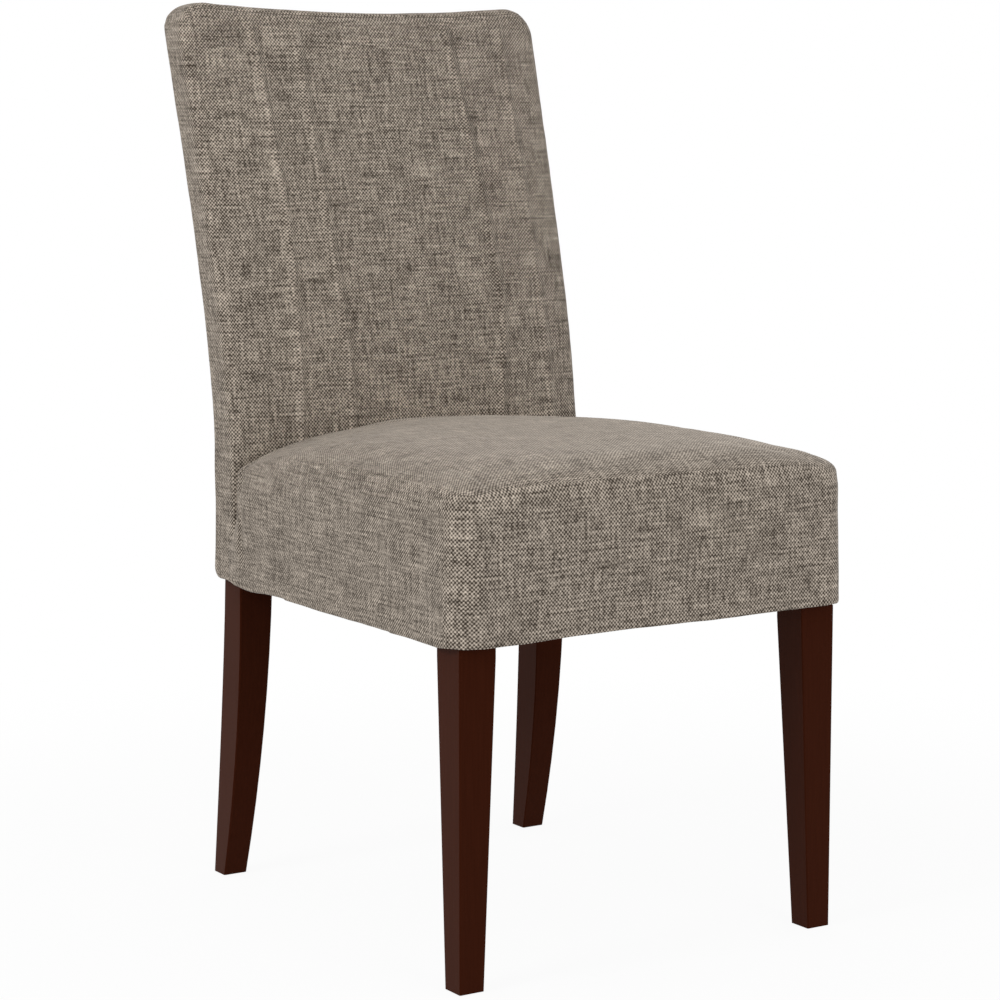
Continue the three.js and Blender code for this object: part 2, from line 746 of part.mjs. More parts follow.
// Foam band between the seat frame and the cover
function apronPadding() {
  const low = railBottom;
  const high = foamBottom - fit;
  const body = cut(seatBody(coverThickness + fit, low), backRoom(2 * fit + coverThickness));
  const reach = seatRearY + backThickness;
  const legInner = frontLegSpread / 2 + fit;
  const rearOuter = mix(legInner, rearPostSpread / 2 + fit, (reach + fit) / rearPostSetback);
  const corner = hiddenCornerRadius / 2;
  const plan = [
    [-legInner + corner, -fit], [legInner - corner, -fit], [legInner, corner], [legInner, frontLegWidth + fit],
    [rearOuter, reach], [-rearOuter, reach], [-legInner, frontLegWidth + fit], [-legInner, corner],
  ];
  const core = prism(plan, 1, low - overrun, high - low + 2 * overrun);
  return cut(body, acrossSeat(high, seatCrownHeight + overrun), core);
}

function backCover() {
  const shell = cut(insetBack(0, hemHeight), insetBack(coverThickness, hemHeight - overrun));
  const gate = backHalfWidth - 3 * coverThickness;
  const low = hemHeight - overrun;
  const waist = box(-gate, gate, seatRearY - overrun, backWaistSetback + backThickness, low, foamBottom);
  return cut(shell, waist, outsidePanel(fit));
}

// Foam in front of the back frame, over its top and down both sides
function backFoam() {
  const body = insetBack(coverThickness + fit, hemHeight + railAboveHem);
  const heights = [hemHeight - overrun, ...spine(hemHeight, postTop).slice(1)];
  const rings = heights.map((z, i) => {
    const { outer, front } = postSection(z);
    const half = outer + fit;
    const top = i === heights.length - 1 ? fit : 0;
    return easedRing(-half, half, front - fit, backRearY(z) + overrun, z + top, Array(4).fill(fit), 1);
  });
  const half = rearPostSpread / 2 + fit;
  const waist = box(-half, half, seatRearY - overrun, rearPostSetback + fit, hemHeight - overrun, foamBottom);
  return cut(body, loft(rings), waist, outsidePanel(fit));
}

// Dust cover: cloth under the rails, notched round the four legs
function dustCover() {
  const front = railSetback + dustClothInset / 2;
  const rear = rearRailY() + railThickness - dustClothInset / 2;
  const legX = frontLegSpread / 2 - frontLegWidth - fit;
  const postX = rearPostSpread / 2 - rearPostWidth - fit;
  const legY = frontLegWidth + fit;
  const postY = rearPostSetback - fit;
  const edgeX = (y) => sideRailOuterX(y) - dustClothInset / 2;
  const right = [[legX, front], [legX, legY], [edgeX(legY), legY], [edgeX(postY), postY], [postX, postY], [postX, rear]];
  const left = right.map(([x, y]) => [-x, y]).reverse();
  return prism([...right, ...left], 1, railBottom - fit - dustClothThickness, dustClothThickness);
}

const chair = new THREE.Group();

function add(name, geometry, material) {
  const mesh = new THREE.Mesh(geometry, material);
  mesh.name = name;
  chair.add(mesh);
}

const sides = [['left', -1], ['right', 1]];

for (const [word, side] of sides) {
  add(`front_leg_${word}`, frontLeg(side), espressoWood);
  add(`rear_post_${word}`, rearPost(side), espressoWood);
  add(`side_rail_${word}`, sideRail(side), rawWood);
  add(`glide_front_${word}`, glide(side * frontGlidePlace[0], frontGlidePlace[1]), nylon);
  add(`glide_rear_${word}`, glide(side * rearGlidePlace[0], rearGlidePlace[1]), nylon);
  for (const end of ['front', 'rear']) {
    add(`corner_block_${end}_${word}`, cornerBlock(side, end), rawWood);
    for (const into of ['cross', 'side']) {
      add(`block_screw_${end}_${word}_${into}`, screw(screwPlace(side, end, into)), steel);
    }
  }
  for (const end of ['cross_front', 'cross_rear', 'side_front', 'side_rear']) {
    dowelPlaces(side, end).forEach((place, i) => {
      add(`dowel_${end}_${word}_${['low', 'high'][i]}`, rodAt(place, dowelRadius, dowelLength), rawWood);
    });
  }
}

const screwsInto = (end) => sides.flatMap(([, side]) => screwHoles(side, end, 'cross'));
const frontInner = frontLegSpread / 2 - frontLegWidth;
const rearInner = rearPostSpread / 2 - rearPostWidth;
add('front_rail', crossRail('cross_front', frontInner, railSetback, screwsInto('front')), rawWood);
add('rear_rail', crossRail('cross_rear', rearInner, rearRailY(), screwsInto('rear')), rawWood);
for (const { name, low, high } of backRails) add(name, backRail(low, high), rawWood);

['left', 'middle', 'right'].forEach((word, row) => {
  add(`seat_strap_lengthwise_${word}`, lengthwiseStrap(row), webbing);
  add(`back_strap_${word}`, backStrap((row - 1) * backStrapSpacing), webbing);
});
['front', 'middle', 'rear'].forEach((word, row) => add(`seat_strap_crosswise_${word}`, crosswiseStrap(row), webbing));

add('seat_foam', seatFoam(), foam);
add('apron_padding', apronPadding(), foam);
add('back_foam', backFoam(), foam);
add('seat_cover', seatCover(), fabric);
add('back_cover', backCover(), fabric);
add('outside_back', outsidePanel(0), fabric);
add('dust_cover', dustCover(), blackCloth);

// The chair's frame has its origin on the floor, under the middle of its outline
const outline = new THREE.Box3().setFromObject(chair);
chair.position.y = -(outline.min.y + outline.max.y) / 2;
chair.updateMatrixWorld(true);

export default chair;
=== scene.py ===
import math

import bmesh
import bpy
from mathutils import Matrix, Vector, noise


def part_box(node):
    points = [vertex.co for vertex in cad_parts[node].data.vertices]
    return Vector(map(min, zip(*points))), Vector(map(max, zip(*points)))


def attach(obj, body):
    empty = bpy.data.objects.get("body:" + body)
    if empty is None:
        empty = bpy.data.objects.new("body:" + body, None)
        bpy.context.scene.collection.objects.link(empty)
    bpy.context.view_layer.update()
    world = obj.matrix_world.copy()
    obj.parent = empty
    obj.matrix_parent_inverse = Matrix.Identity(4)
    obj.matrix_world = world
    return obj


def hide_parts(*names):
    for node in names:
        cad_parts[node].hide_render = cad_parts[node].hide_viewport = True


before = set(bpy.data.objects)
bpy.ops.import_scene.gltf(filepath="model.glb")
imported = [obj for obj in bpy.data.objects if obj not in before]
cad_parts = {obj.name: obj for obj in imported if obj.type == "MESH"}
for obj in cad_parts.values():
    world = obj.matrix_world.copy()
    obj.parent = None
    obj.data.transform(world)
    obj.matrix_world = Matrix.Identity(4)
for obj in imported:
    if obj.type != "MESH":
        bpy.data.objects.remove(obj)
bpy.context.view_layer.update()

bpy.ops.object.select_all(action="DESELECT")


# Legs: two tapered front legs and two rear posts that sweep back at the foot and lean into the back.
# They are solid hardwood, sanded, stained espresso brown and finished with a thin satin lacquer.
class Value:
    """A number that changes over a surface. A sum written with it adds the Math nodes."""

    def __init__(self, finish, socket):
        self.finish = finish
        self.socket = socket

    def maths(self, operation, *others):
        inputs = dict(enumerate([self, *others]))
        made = self.finish.node("ShaderNodeMath", {"operation": operation}, inputs)
        return Value(self.finish, made.outputs[0])

    def __add__(self, other):
        return self.maths("ADD", other)

    def __mul__(self, other):
        return self.maths("MULTIPLY", other)

    def __sub__(self, other):
        return self.maths("SUBTRACT", other)

    def __rsub__(self, other):
        return self * -1.0 + other

    __radd__ = __add__
    __rmul__ = __mul__

    def cosine(self):
        return self.maths("COSINE")

    def size(self):
        return self.maths("ABSOLUTE")

    def ramp(self, low, high):
        """0 below low, 1 above high and smooth between them."""
        inputs = {"Value": self, "From Min": low, "From Max": high}
        made = self.finish.node("ShaderNodeMapRange", {"interpolation_type": "SMOOTHSTEP"}, inputs)
        return Value(self.finish, made.outputs[0])


class Finish:
    """A material's nodes round its one shader."""

    def __init__(self, name, constants):
        self.material = bpy.data.materials.new(name)
        self.material.use_nodes = True
        self.tree = self.material.node_tree
        self.shader = self.tree.nodes["Principled BSDF"]
        for socket, constant in constants.items():
            self.feed(self.shader.inputs[socket], constant)

    def feed(self, socket, given):
        if isinstance(given, Value):
            given = given.socket
        if isinstance(given, bpy.types.NodeSocket):
            self.tree.links.new(given, socket)
        else:
            socket.default_value = given

    def node(self, kind, settings, inputs):
        made = self.tree.nodes.new(kind)
        for name, setting in settings.items():
            setattr(made, name, setting)
        for name, given in inputs.items():
            self.feed(made.inputs[name], given)
        return made

    def object_place(self):
        return self.node("ShaderNodeTexCoord", {}, {}).outputs["Object"]

    def attribute(self, name):
        """A number that the mesh keeps at each of its points."""
        return Value(self, self.node("ShaderNodeAttribute", {"attribute_name": name}, {}).outputs["Fac"])

    def stretched(self, place, *sizes):
        """A place measured in patches of the given sizes."""
        inputs = {0: place, 1: [1 / size for size in sizes]}
        return self.node("ShaderNodeVectorMath", {"operation": "MULTIPLY"}, inputs).outputs[0]

    def shifted(self, place, *steps):
        return self.node("ShaderNodeVectorMath", {"operation": "ADD"}, {0: place, 1: steps}).outputs[0]

    def clouds(self, place, detail=2.0, roughness=0.5):
        """Soft noise from about -1 to 1."""
        inputs = {"Vector": place, "Scale": 1.0, "Detail": detail, "Roughness": roughness}
        return Value(self, self.node("ShaderNodeTexNoise", {}, inputs).outputs[0]) * 2.0 - 1.0

    def blend(self, share, first, second):
        inputs = {0: share, 6: (*first, 1) if isinstance(first, tuple) else first}
        inputs[7] = (*second, 1) if isinstance(second, tuple) else second
        return self.node("ShaderNodeMix", {"data_type": "RGBA"}, inputs).outputs[2]

    def relief(self, height, distance, strength=1.0):
        inputs = {"Strength": strength, "Distance": distance, "Height": height}
        return self.node("ShaderNodeBump", {}, inputs).outputs[0]

    def surface(self, colour, roughness, normal):
        self.feed(self.shader.inputs["Base Color"], colour)
        self.feed(self.shader.inputs["Roughness"], roughness)
        self.feed(self.shader.inputs["Normal"], normal)

    def onto(self, node):
        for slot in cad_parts[node].material_slots:
            slot.material = self.material


espresso_dark = (0.0300, 0.0052, 0.0014)
espresso_light = (0.0400, 0.0078, 0.0026)

espresso = Finish("espresso_lacquer", {
    "Specular IOR Level": 0.03,
    "Specular Tint": (1.0, 0.45, 0.30, 1),
    "Sheen Weight": 0.16,
    "Sheen Roughness": 0.5,
    "Sheen Tint": (1.0, 0.45, 0.30, 1),
})
leg_place = espresso.object_place()
leg_grain = espresso.clouds(espresso.stretched(leg_place, 0.0022, 0.0022, 0.06), 4.0)
leg_pores = espresso.clouds(espresso.stretched(leg_place, 0.0007, 0.0007, 0.012)).ramp(0.35, 0.7)
leg_colour = espresso.blend(leg_grain.ramp(-0.8, 0.8), espresso_dark, espresso_light)
espresso.surface(
    espresso.blend(leg_pores * 0.4, leg_colour, espresso_dark),
    espresso.clouds(espresso.stretched(leg_place, 0.03, 0.03, 0.09)) * 0.05 + 0.38,
    espresso.relief(leg_grain * 0.3 - leg_pores, 0.00006),
)
for side in ("left", "right"):
    espresso.onto(f"front_leg_{side}")
    espresso.onto(f"rear_post_{side}")


# Seat and back frame: rails, cross rails, corner blocks and dowels.
# They are planed, unfinished beech, with the grain along each piece, hidden under the upholstery.
beech_light = (0.62, 0.42, 0.24)
beech_dark = (0.43, 0.26, 0.13)


def beech(name, sizes):
    finish = Finish(name, {"Specular IOR Level": 0.3})
    place = finish.object_place()
    grain = finish.clouds(finish.stretched(place, *sizes), 3.0)
    flecks = finish.clouds(finish.stretched(place, *[size / 3 for size in sizes]), 1.0).ramp(0.3, 0.6)
    colour = finish.blend(grain.ramp(-0.7, 0.7), beech_dark, beech_light)
    colour = finish.blend(flecks * 0.35, colour, beech_dark)
    finish.surface(colour, grain * 0.06 + 0.72, finish.relief(grain - flecks, 0.0001))
    return finish


beech_across = beech("beech_across", (0.09, 0.003, 0.003))
beech_along = beech("beech_along", (0.003, 0.09, 0.003))
for node in ("front_rail", "rear_rail", "lower_back_rail", "crest_rail"):
    beech_across.onto(node)
for side in ("left", "right"):
    beech_along.onto(f"side_rail_{side}")
    for end in ("front", "rear"):
        beech_across.onto(f"corner_block_{end}_{side}")
        for level in ("low", "high"):
            beech_across.onto(f"dowel_cross_{end}_{side}_{level}")
            beech_along.onto(f"dowel_side_{end}_{side}_{level}")


# Screws: two wood screws hold each corner block to its rails, in counterbores.
# They are zinc-plated steel, with the fine turning marks of the plated head.
zinc_dark = (0.42, 0.43, 0.44)
zinc_light = (0.60, 0.60, 0.60)

zinc = Finish("zinc_screws", {"Metallic": 1.0})
zinc_place = zinc.object_place()
zinc_marks = zinc.clouds(zinc.stretched(zinc_place, 0.0008, 0.0008, 0.0008), 3.0)
zinc.surface(
    zinc.blend(zinc_marks.ramp(-0.6, 0.6), zinc_dark, zinc_light),
    zinc_marks * 0.08 + 0.36,
    zinc.relief(zinc_marks, 0.00004),
)
for side in ("left", "right"):
    for end in ("front", "rear"):
        for rail in ("cross", "side"):
            zinc.onto(f"block_screw_{end}_{side}_{rail}")


# Glides: one round glide nailed into the hollow under each foot.
# They are dark brown moulded nylon, with a fine moulded grain that the floor has rubbed smooth.
nylon_dark = (0.030, 0.017, 0.011)
nylon_light = (0.046, 0.028, 0.018)

nylon = Finish("brown_nylon", {"Specular IOR Level": 0.4})
nylon_grain = nylon.clouds(nylon.stretched(nylon.object_place(), 0.0006, 0.0006, 0.0006), 2.0)
nylon.surface(
    nylon.blend(nylon_grain.ramp(-0.7, 0.7), nylon_dark, nylon_light),
    nylon_grain * 0.07 + 0.48,
    nylon.relief(nylon_grain, 0.00005),
)
for side in ("left", "right"):
    nylon.onto(f"glide_front_{side}")
    nylon.onto(f"glide_rear_{side}")


# Webbing: three straps each way under the seat and three up the back, stapled to the rails.
# They are elastic upholstery webbing, a coarse black and brown weave with two lighter stripes.
webbing_black = (0.035, 0.031, 0.027)
webbing_brown = (0.105, 0.070, 0.042)
webbing_stripe = (0.34, 0.25, 0.15)
webbing_rib = 0.0024
webbing_thread = 0.0016
stripe_from_middle = 0.015
stripe_half = 0.0012
stripe_edge = 0.0018


def webbing(node, across, along):
    """Gives a strap a weave whose stripes lie on both sides of the strap's own middle."""
    low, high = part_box(node)
    middle = (low["XYZ".index(across)] + high["XYZ".index(across)]) / 2
    finish = Finish(f"webbing_{node}", {"Specular IOR Level": 0.2})
    split = finish.node("ShaderNodeSeparateXYZ", {}, {0: finish.object_place()})
    width = Value(finish, split.outputs[across])
    length = Value(finish, split.outputs[along])
    ribs = (length * (2 * math.pi / webbing_rib)).cosine()
    threads = (width * (2 * math.pi / webbing_thread)).cosine()
    weave = ribs * 0.7 + ribs * threads * 0.5
    colour = finish.blend(weave.ramp(-0.9, 0.9), webbing_black, webbing_brown)
    off_stripe = ((width - middle).size() - stripe_from_middle).size().ramp(stripe_half, stripe_edge)
    colour = finish.blend(off_stripe, webbing_stripe, colour)
    finish.surface(colour, weave * 0.05 + 0.8, finish.relief(weave, 0.00025))
    finish.onto(node)


for place in ("left", "middle", "right"):
    webbing(f"seat_strap_lengthwise_{place}", "X", "Y")
    webbing(f"back_strap_{place}", "X", "Z")
for place in ("front", "middle", "rear"):
    webbing(f"seat_strap_crosswise_{place}", "Y", "X")


# Dust cover: a panel stapled under the seat frame, notched round the four legs.
# It is thin black spun-bonded cloth, with a faint pattern of bonded points and loose fibres.
bonded_point = 0.0022
dust_black = (0.012, 0.012, 0.013)
dust_grey = (0.030, 0.030, 0.031)

dust = Finish("black_spunbond", {"Specular IOR Level": 0.25})
dust_place = dust.object_place()
dust_split = dust.node("ShaderNodeSeparateXYZ", {}, {0: dust_place})
dust_across = (Value(dust, dust_split.outputs["X"]) * (2 * math.pi / bonded_point)).cosine()
dust_along = (Value(dust, dust_split.outputs["Y"]) * (2 * math.pi / bonded_point)).cosine()
dust_points = (dust_across * dust_along).ramp(0.3, 0.9)
dust_fibres = dust.clouds(dust.stretched(dust_place, 0.0009, 0.0009, 0.0009), 4.0)
dust.surface(
    dust.blend(dust_fibres.ramp(-0.5, 0.8), dust_black, dust_grey),
    dust_points * -0.2 + 0.9,
    dust.relief(dust_fibres * 0.6 - dust_points, 0.0002),
)
dust.onto("dust_cover")


# Back: a padded panel over the posts and rails, curved to the sitter and dipped along its top edge.
# It is foam under taupe linen-look cloth: a front panel with soft upright ridges in its padding, sewn to
# a boxing strip that goes round the sides and over the top. It is pulled over the frame down to the hem.
legs_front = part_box("front_leg_left")[0][1]
hem = 0.350
back_top = 0.990
back_half = 0.232
back_flare = 0.005
back_thick = 0.052
back_waist = 0.440
back_setback = 0.522
back_hem_flare = 0.0045
back_rake = 0.114
rake_shares = [(0, 0), (0.15, 0.035), (0.3, 0.14), (0.5, 0.35), (0.75, 0.67), (1, 1)]
ear_radius = 0.032
ear_peak = 0.038
back_edge = 0.016
back_rear_edge = 0.006
back_top_roll = 0.024
back_dip = 0.008
back_dip_reach = 0.110
seat_crown = 0.5295
panel_thick = 0.0025
panel_inset = 0.005
back_swell = 0.003
beside_seat = 0.47
above_seat = 0.53
hem_band = 0.012
seam_slant = 0.7
seam_groove = 0.0026
soft_voxel = 0.005
cloth_frames = 20
touching = 1e-4


def share_between(low, high, value):
    """0 at low, 1 at high and even between them."""
    return min(max((value - low) / (high - low), 0), 1)


def smooth(low, high, value):
    """0 at low, 1 at high and smooth between them."""
    share = share_between(low, high, value)
    return share * share * (3 - 2 * share)


def mixed(first, second, share):
    return first + (second - first) * share


def bump(away, width):
    """1 on a line, falling to nothing beside it."""
    return math.exp(-((away / width) ** 2))


def curve_through(table, place):
    """A smooth curve through the points of a table."""
    last = len(table) - 1
    i = 0
    while i < last - 1 and place > table[i + 1][0]:
        i += 1

    def slope(k):
        before, after = table[max(k - 1, 0)], table[min(k + 1, last)]
        return (after[1] - before[1]) / (after[0] - before[0])

    span = table[i + 1][0] - table[i][0]
    t = (place - table[i][0]) / span
    rise = (2 * t**3 - 3 * t**2 + 1) * table[i][1] + (3 * t**2 - 2 * t**3) * table[i + 1][1]
    bend = (t**3 - 2 * t**2 + t) * slope(i) + (t**3 - t**2) * slope(i + 1)
    return rise + bend * span


def back_rear(z):
    """Where the rear face of the back is at a height."""
    if z < back_waist:
        return legs_front + back_setback + back_hem_flare * ((back_waist - z) / (back_waist - hem)) ** 2
    rake = curve_through(rake_shares, share_between(back_waist, back_top, z))
    return legs_front + back_setback + back_rake * rake


def back_half_at(z):
    return back_half + back_flare * share_between(seat_crown, back_top, z) ** 2


def rounded_draw(drop, radius):
    """How far a quarter round has drawn in at a depth below its top."""
    return radius - math.sqrt(max(radius**2 - (radius - drop) ** 2, 0)) if drop < radius else 0


def block(name, low, high):
    """A box at its size and place, ready to be shaped."""
    middle = [(a + b) / 2 for a, b in zip(low, high)]
    size = [b - a for a, b in zip(low, high)]
    bpy.ops.mesh.primitive_cube_add(size=1, location=middle, scale=size)
    piece = bpy.context.object
    piece.name = piece.data.name = name
    bpy.ops.object.transform_apply(location=True, rotation=True, scale=True)
    return piece


def pick(piece, kind, test):
    """Selects the edges or faces, in edit mode, whose middle passes a test."""
    bpy.ops.object.mode_set(mode="EDIT")
    bpy.ops.mesh.select_mode(type=kind)
    bpy.ops.mesh.select_all(action="DESELECT")
    mesh = bmesh.from_edit_mesh(piece.data)
    for part in mesh.edges if kind == "EDGE" else mesh.faces:
        middle = sum((vertex.co for vertex in part.verts), Vector()) / len(part.verts)
        if test(middle):
            part.select_set(True)
    mesh.select_flush_mode()
    bmesh.update_edit_mesh(piece.data)


def object_mode():
    bpy.ops.object.mode_set(mode="OBJECT")


def applied(piece, kind, **settings):
    """Adds a modifier and applies it."""
    bpy.context.view_layer.objects.active = piece
    modifier = piece.modifiers.new(kind.title(), kind)
    for name, setting in settings.items():
        setattr(modifier, name, setting)
    bpy.ops.object.modifier_apply(modifier=modifier.name)


def reshape(piece, move):
    """Puts each vertex where move(place, normal) says."""
    normals = [vertex.normal.copy() for vertex in piece.data.vertices]
    for vertex, normal in zip(piece.data.vertices, normals):
        vertex.co = move(vertex.co.copy(), normal)
    piece.data.update()


def cut_by(piece, tool):
    applied(piece, "BOOLEAN", operation="DIFFERENCE", solver="MANIFOLD", object=tool)
    bpy.data.objects.remove(tool)


def blown(piece, held, cap):
    """Inflates a closed pad by cloth simulation, with the held vertices pinned and every move capped."""
    rest = [vertex.co.copy() for vertex in piece.data.vertices]
    pins = piece.vertex_groups.new(name="held")
    for vertex, place in zip(piece.data.vertices, rest):
        pins.add([vertex.index], held(place), "REPLACE")
    bpy.context.view_layer.objects.active = piece
    cloth = piece.modifiers.new("Cloth", "CLOTH")
    cloth.settings.vertex_group_mass = pins.name
    cloth.settings.use_pressure = True
    cloth.settings.uniform_pressure_force = 4.0
    cloth.settings.effector_weights.gravity = 0
    cloth.point_cache.frame_start = 1
    cloth.point_cache.frame_end = cloth_frames
    for step in range(1, cloth_frames + 1):
        bpy.context.scene.frame_set(step)
    bpy.ops.object.modifier_apply(modifier="Cloth")
    piece.vertex_groups.clear()
    for vertex, place in zip(piece.data.vertices, rest):
        move = vertex.co - place
        limit = cap * (1 - held(place)) + 1e-6
        if move.length:
            vertex.co = place + move.normalized() * limit * math.tanh(move.length / limit)
    piece.data.update()


def dip_at(x, z):
    """How far the dip of the top edge lowers a place."""
    weight = min(max((z - (back_top - back_dip_reach)) / back_dip_reach, 0), 1) ** 2
    share = min(abs(x) / (back_half_at(back_top) - ear_peak), 1)
    return back_dip * weight * (1 - share**2)


def to_back(place):
    """Bends a place on the straight back to the chair's curve, with its flare, top roll and dip."""
    drop = back_top - place.z
    thick = back_thick - rounded_draw(max(drop, 0), back_top_roll)
    depth = back_thick + place.y
    from_side = (back_half - abs(place.x)) / back_edge
    if 0 < from_side < 1 and place.z < above_seat:
        fuller = back_edge * (from_side - from_side**2) * (1 - smooth(beside_seat, above_seat, place.z))
        place = Vector((place.x + math.copysign(fuller, place.x), place.y, place.z))
    y = back_rear(place.z) - back_thick + depth * thick / back_thick
    x = place.x * back_half_at(place.z) / back_half
    return Vector((x, y, place.z - dip_at(x, place.z)))


def inside_outline(x, z):
    """How far a place is inside the back's outline, seen from the front."""
    dx = abs(x) - (back_half - ear_radius)
    dz = z - (back_top - ear_radius)
    if dx > 0 and dz > 0:
        return ear_radius - math.hypot(dx, dz)
    return min(ear_radius - dx, ear_radius - dz)


def past_seam(place):
    """How far a place is past the seam, above 0 on the front panel and below 0 on the boxing."""
    return inside_outline(place.x, place.z) - (place.y + back_thick)


back = block("back_upholstery", (-back_half, -back_thick, hem), (back_half, 0, back_top))
pick(back, "EDGE", lambda p: abs(p.x) > back_half - touching and p.z > back_top - touching)
bpy.ops.mesh.bevel(offset=ear_radius, segments=12, affect="EDGES")
pick(back, "EDGE", lambda p: p.y < touching - back_thick and p.z > hem + touching)
bpy.ops.mesh.bevel(offset=back_edge, segments=6, affect="EDGES")
pick(back, "EDGE", lambda p: p.y > -touching and p.z > hem + touching)
bpy.ops.mesh.bevel(offset=back_rear_edge, segments=3, affect="EDGES")
object_mode()
applied(back, "REMESH", mode="VOXEL", voxel_size=soft_voxel)


def back_held(place):
    """The boxing, its seam and the hem are held; the front panel is free."""
    if place.z < hem + hem_band:
        return 1.0
    return 1.0 - smooth(0.001, 0.014, past_seam(place))


reshape(back, lambda p, n: p - n * back_swell * (1 - back_held(p)))
blown(back, back_held, back_swell)
applied(back, "SUBSURF", levels=1, render_levels=1)


def keep(piece, name, measure):
    """Keeps a measure of each vertex, for the shader."""
    attribute = piece.data.attributes.new(name, "FLOAT", "POINT")
    attribute.data.foreach_set("value", [measure(vertex.co) for vertex in piece.data.vertices])


def back_tightness(place):
    """How deep the seam's groove and its painted shade are: they show along the top and are lost in the
    rounded edge down the sides.
    """
    return 0.2 + 0.8 * smooth(0.010, 0.035, inside_outline(place.x, 0)) * smooth(0.93, 0.96, place.z)


left_ridge = [(0.55, -0.144), (0.726, -0.136), (0.966, -0.146), (1.0, -0.147)]
right_ridge = [(0.534, 0.122), (0.65, 0.134), (0.975, 0.105), (1.0, 0.103)]
right_shadow = [(0.55, 0.129), (0.68, 0.126), (0.80, 0.124), (0.91, 0.117), (1.0, 0.110)]


def leaning(low, high, z):
    """Where a ridge is that leans from one place at the seat to another at the top."""
    return mixed(low, high, smooth(0.55, 0.97, z))


def on_front(x, z):
    """1 on the front panel, falling to 0 at its edges."""
    return smooth(0.004, 0.03, inside_outline(x, z))


def painted_ridge_shading(place):
    """Painted light and shade: one flank of each upright ridge is painted lighter and the other darker, as if
    catching the light.
    """
    if place.y > 0.02 - back_thick:
        return 0.0
    x, z = place.x, place.z
    middle = leaning(-0.078, -0.091, z)
    share = 0.0
    for at, width, amount in (
        (-0.147, 0.006, 0.07),
        (-0.131, 0.009, 0.03),
        (middle - 0.004, 0.005, 0.02),
        (middle + 0.009, 0.006, -0.03),
        (curve_through(right_shadow, z), 0.006, -0.09),
    ):
        share += amount * bump(x - at, width)
    return share * on_front(x, z)


keep(back, "seam", lambda place: past_seam(place) * seam_slant)
keep(back, "tight", back_tightness)
# Painted light and shade: the ridges' lit and shaded flanks are kept for the cloth's colour.
keep(back, "shade", painted_ridge_shading)


def back_creases(place, normal):
    """Seam groove, the soft upright ridges of the padding, pull marks and uneven stuffing."""
    x, z = place.x, place.z
    move = 0
    if place.y < -0.01:
        move = -0.0022 * back_tightness(place) * bump(past_seam(place) * seam_slant, seam_groove)
    if normal.y < -0.5:
        inside = on_front(x, z)
        for ridge, width, height in (
            (curve_through(left_ridge, z), 0.0048, 0.0034),
            (curve_through(right_ridge, z), 0.0048, 0.0034),
            (leaning(-0.078, -0.091, z), 0.005, 0.0028),
            (leaning(0.190, 0.180, z), 0.005, 0.0028),
        ):
            move += inside * height * bump(x - ridge, width)
        for level, lean, height in ((0.640, 0.05, 0.0009), (0.622, 0.03, 0.0006), (0.664, 0.02, 0.0005)):
            away = z - level - lean * (x + back_half)
            reach = 1 - smooth(0.0, 0.10, x + back_half)
            move -= height * reach * inside * bump(away, 0.004)
    move += 0.0006 * noise.noise(place * 14) + 0.0003 * noise.noise(place * 45 + Vector((3, 1, 2)))
    return place + normal * move


reshape(back, back_creases)
reshape(back, lambda p, n: to_back(p))

hem_radius = 0.013


def hem_corner(place, normal):
    """The rear corners of the hem are drawn in round the posts."""
    weight = smooth(back_half - hem_radius, back_half - 0.002, abs(place.x))
    if place.z < hem + hem_radius:
        place.y -= weight * rounded_draw(place.z - hem, hem_radius)
    return place


reshape(back, hem_corner)

posts_front = legs_front + 0.4863
post_half = 0.219
post_top = 0.960
post_depth_low = 0.033
post_depth_high = 0.024
post_gap = 0.0003
rail_top = 0.428
rail_room_top = 0.4325
room_gap = 0.0008
below_hem = hem - 0.02
slice_levels = [hem + 0.02 * i for i in range(31)]


def sliced(piece, levels, lines=()):
    """Cuts a piece across at some heights, and upright at some places along its width."""
    cuts = [((0, 0, level), (0, 0, 1)) for level in levels]
    cuts += [((line, 0, 0), (1, 0, 0)) for line in lines]
    bpy.ops.object.mode_set(mode="EDIT")
    for place, direction in cuts:
        bpy.ops.mesh.select_all(action="SELECT")
        bpy.ops.mesh.bisect(plane_co=place, plane_no=direction)
    object_mode()


def post_front_at(z):
    if z <= rail_top:
        return posts_front
    depth = mixed(post_depth_low, post_depth_high, share_between(rail_top, post_top, z))
    return back_rear(z) - panel_thick - post_gap - depth


room_half = post_half + room_gap
room = block("room", (-room_half, 0, below_hem), (room_half, 1, post_top + room_gap))
sliced(room, slice_levels)


def post_room(place, normal):
    """Bends the room for the posts to the back's curve."""
    spread = back_half_at(place.z) - back_half
    x = place.x + math.copysign(spread, place.x)
    if place.y < 0.5:
        return Vector((x, post_front_at(place.z) - room_gap, place.z))
    return Vector((x, back_rear(place.z) - panel_thick - 0.0001, place.z))


reshape(room, post_room)
cut_by(back, room)

waist_half = post_half - 0.0006
waist_low = (-waist_half, posts_front - 0.03, below_hem)
waist_high = (waist_half, posts_front + 0.001, rail_room_top)
cut_by(back, block("waist", waist_low, waist_high))


def panel_shape(name, grow, rear):
    """The outside panel's form, straight, grown on all its edges by a clearance."""
    half = back_half - panel_inset + grow
    low = hem - (0.01 if grow else 0)
    high = back_top - back_top_roll + grow
    piece = block(name, (-half, -panel_thick - grow, low), (half, rear, high))
    pick(piece, "EDGE", lambda p: abs(p.x) > half - touching and p.z > high - touching)
    bpy.ops.mesh.bevel(offset=ear_radius - panel_inset, segments=10, affect="EDGES")
    sliced(piece, slice_levels[1:], [0.03 * i for i in range(-7, 8)])
    return piece


def panel_place(place, normal):
    """Bends a place on the straight panel to the back's curve."""
    x = place.x * back_half_at(place.z) / back_half
    return Vector((x, back_rear(place.z) + place.y, place.z - dip_at(x, place.z)))


recess = panel_shape("recess", 0.0005, 0.02)
reshape(recess, panel_place)
cut_by(back, recess)

